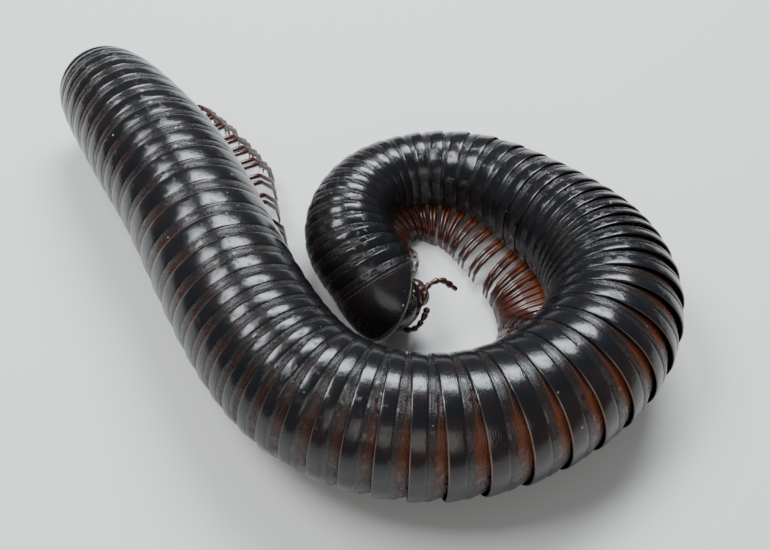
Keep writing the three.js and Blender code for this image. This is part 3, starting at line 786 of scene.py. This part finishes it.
# Antennae: a pair of feelers of seven club-shaped joints of dark red-brown chitin, narrow and a little paler
# where each meets the last. The left one bends down along the head, and the right one crosses in front of
# it.
ANTENNA_LEFT = [
    [3.0, 7.2, -0.9], [4.7, 6.4, -1.4], [5.6, 5.2, -2.0], [6.5, 4.9, -3.2], [7.0, 5.3, -4.9],
    [6.7, 6.4, -6.6], [6.3, 7.4, -8.0],
]
ANTENNA_RIGHT = [
    [-2.2, 7.2, -1.6], [-1.4, 8.7, -1.8], [0.4, 9.3, -2.0], [1.9, 8.6, -2.8], [2.2, 7.9, -4.0],
    [1.0, 8.1, -5.2],
]
ANTENNA_NECK = 0.24
ANTENNA_THICK = [0.42, 0.52, 0.50, 0.50, 0.55, 0.60, 0.42]
# Place along one joint and thickness, as a share from its neck to its widest.
CLUB_PROFILE = [
    [0.02, 0.0], [0.10, 0.25], [0.35, 0.60], [0.65, 0.92], [0.82, 1.0], [0.92, 0.90], [0.98, 0.3],
]
ANTENNA_SIDES = 14
ANTENNA_STEPS = 400
# The stretch of a leg's tints that the feeler shows: where on the leg it starts, and how long it is.
ANTENNA_TINTS = [0.35, 0.3]


def smooth_line(points, count):
    """An open smooth curve through points: each end point is doubled outwards by its own first step, and
    each stretch between is the spline."""
    points = np.array(points, float)
    points = np.vstack([2 * points[0] - points[1], points, 2 * points[-1] - points[-2]])
    t = np.linspace(0, len(points) - 3, count)
    i = np.minimum(np.floor(t).astype(int), len(points) - 4)
    t = (t - i)[:, None]
    a, b, c, d = (points[i + k] for k in range(4))
    return spline(a, b, c, d, t)


club = np.array(CLUB_PROFILE)
joints = np.arange(len(ANTENNA_THICK))[:, None]
club_along = ((joints + club[None, :, 0]) / len(ANTENNA_THICK)).ravel()
club_radius = (ANTENNA_NECK + (np.array(ANTENNA_THICK)[:, None] - ANTENNA_NECK) * club[None, :, 1]).ravel()
club_joint = np.tile(club[:, 0], len(ANTENNA_THICK))[:, None]
club_tint = ANTENNA_TINTS[0] + ANTENNA_TINTS[1] * club_along[:, None]
for name, points in (("left", ANTENNA_LEFT), ("right", ANTENNA_RIGHT)):
    fine = smooth_line(points, ANTENNA_STEPS)
    run = np.concatenate([[0], np.cumsum(np.linalg.norm(np.diff(fine, axis=0), axis=1))])
    path = np.stack([np.interp(club_along * run[-1], run, fine[:, n]) for n in range(3)], axis=-1)
    grid = tube(on_collum(path), club_radius, ANTENNA_SIDES, UPWARDS)[None]
    places = place_grid(grid.shape[:3], club_tint, club_joint, 0.0)
    finish_piece(loft(f"antenna_{name}_joints", grid, places), limb_chitin, "limbs", f"antenna_{name}")


# Tail: the last ring tapers to a blunt end round two upright anal valves with raised rims, which meet in
# the middle and shut the body.
TAIL_PROFILE = [
    [-0.9, 7.7], [0.1, 8.0], [0.8, 8.1], [1.4, 7.95], [2.0, 7.6], [2.5, 7.1], [2.75, 6.6], [2.75, 5.6],
]
VALVE_SIZE = [2.6, 2.0, 5.2]
VALVE_PLACE = [2.75, 0, -0.2]
VALVE_FINENESS = [24, 36]
VALVE_RIM = 0.06
VALVE_RIM_PLACE = -0.55
VALVE_RIM_WIDTH = 0.16
TAIL_ROWS = 26
tail_rows = smooth_line(TAIL_PROFILE, TAIL_ROWS)
s = TRUNK_LENGTH + tail_rows[:, 0]
at, back, left, up = station(s)
sideways, upward = body_section(phi[None, :], s[:, None])
grid = at[:, None] + left[:, None] * (sideways * tail_rows[:, 1:])[..., None]
grid = grid + up[:, None] * (upward * tail_rows[:, 1:])[..., None]
brown = brown_share(phi[None, :], s[:, None])
places = place_grid(grid.shape[:2], np.abs(phi) / math.pi, 0.5 + 0.1 * tail_rows[:, :1], brown)
finish_piece(loft("tail_ring", grid[None], places[None]), ring_chitin, "plates", "tail")

at, back, left, up = station(TRUNK_LENGTH + TAIL_PROFILE[-1][0])
way = directions(*VALVE_FINENESS)
for name, side in (("left", 1), ("right", -1)):
    from_rim = (way[..., 0] * side - VALVE_RIM_PLACE) / VALVE_RIM_WIDTH
    rim = 1 + VALVE_RIM * np.exp(-(from_rim**2))
    valve = way * rim[..., None] * VALVE_SIZE + np.array(VALVE_PLACE) * [side, 1, 1]
    grid = at + valve @ np.stack([left, back, up])
    valve = loft(f"anal_valve_{name}_shell", grid[None], 0 * grid[None])
    finish_piece(valve, mouth_chitin, "valves", f"anal_valve_{name}")


# Floor, light and camera: a plain pale floor, two large soft lamps above and behind, a weak one in front,
# and the camera at the height and distance from which the animal was seen.
FLOOR_SIZE = 4.0
FLOOR_TINT = (0.74, 0.73, 0.70, 1)
SKY_TINT = (0.80, 0.88, 1.0, 1)
SKY_STRENGTH = 0.22
CAMERA_PLACE = [6.87, -99.25, 130.0]
CAMERA_TILT = 38.0
CAMERA_LENS = 46.75
SENSOR = 36.0
floor_mesh = bpy.data.meshes.new("floor")
corner = FLOOR_SIZE / 2
floor_mesh.from_pydata(
    [(-corner, -corner, 0), (corner, -corner, 0), (corner, corner, 0), (-corner, corner, 0)],
    [],
    [(0, 1, 2, 3)],
)
floor = bpy.data.objects.new("floor", floor_mesh)
bpy.context.scene.collection.objects.link(floor)
floor_matt, tree, shader = new_material("floor_matt", Roughness=0.85, Specular_IOR_Level=0.2)
shader.inputs["Base Color"].default_value = FLOOR_TINT
floor_mesh.materials.append(floor_matt)

world = bpy.data.worlds.new("studio")
world.use_nodes = True
world.node_tree.nodes["Background"].inputs["Color"].default_value = SKY_TINT
world.node_tree.nodes["Background"].inputs["Strength"].default_value = SKY_STRENGTH
bpy.context.scene.world = world


def soft_lamp(name, place, size, power, colour):
    """A rectangular lamp at place, in millimetres, turned so that its light goes towards the middle of the
    floor."""
    lamp = bpy.data.lights.new(name, "AREA")
    lamp.shape = "RECTANGLE"
    lamp.size, lamp.size_y = size[0] * MM, size[1] * MM
    lamp.energy = power
    lamp.color = colour
    made = bpy.data.objects.new(name, lamp)
    place = np.array(place, float)
    back = place / np.linalg.norm(place)
    side = np.cross([0.0, 1.0, 0.001], back)
    side /= np.linalg.norm(side)
    turn = Matrix(np.stack([side, np.cross(back, side), back], axis=1).tolist()).to_4x4()
    made.matrix_world = Matrix.Translation(place * MM) @ turn
    bpy.context.scene.collection.objects.link(made)


soft_lamp("window", [60, 220, 330], [220, 150], 2.3, (0.88, 0.94, 1.0))
soft_lamp("ceiling", [-190, 40, 380], [140, 220], 1.7, (0.92, 0.96, 1.0))
soft_lamp("fill", [40, -330, 260], [320, 200], 0.35, (1.0, 0.96, 0.90))

camera = bpy.data.objects.new("camera", bpy.data.cameras.new("camera"))
camera.data.lens = CAMERA_LENS
camera.data.sensor_width = SENSOR
camera.data.sensor_fit = "HORIZONTAL"
camera.data.clip_start = 0.01
camera.location = [place * MM for place in CAMERA_PLACE]
camera.rotation_euler = (math.radians(CAMERA_TILT), 0, 0)
bpy.context.scene.collection.objects.link(camera)
bpy.context.scene.camera = camera
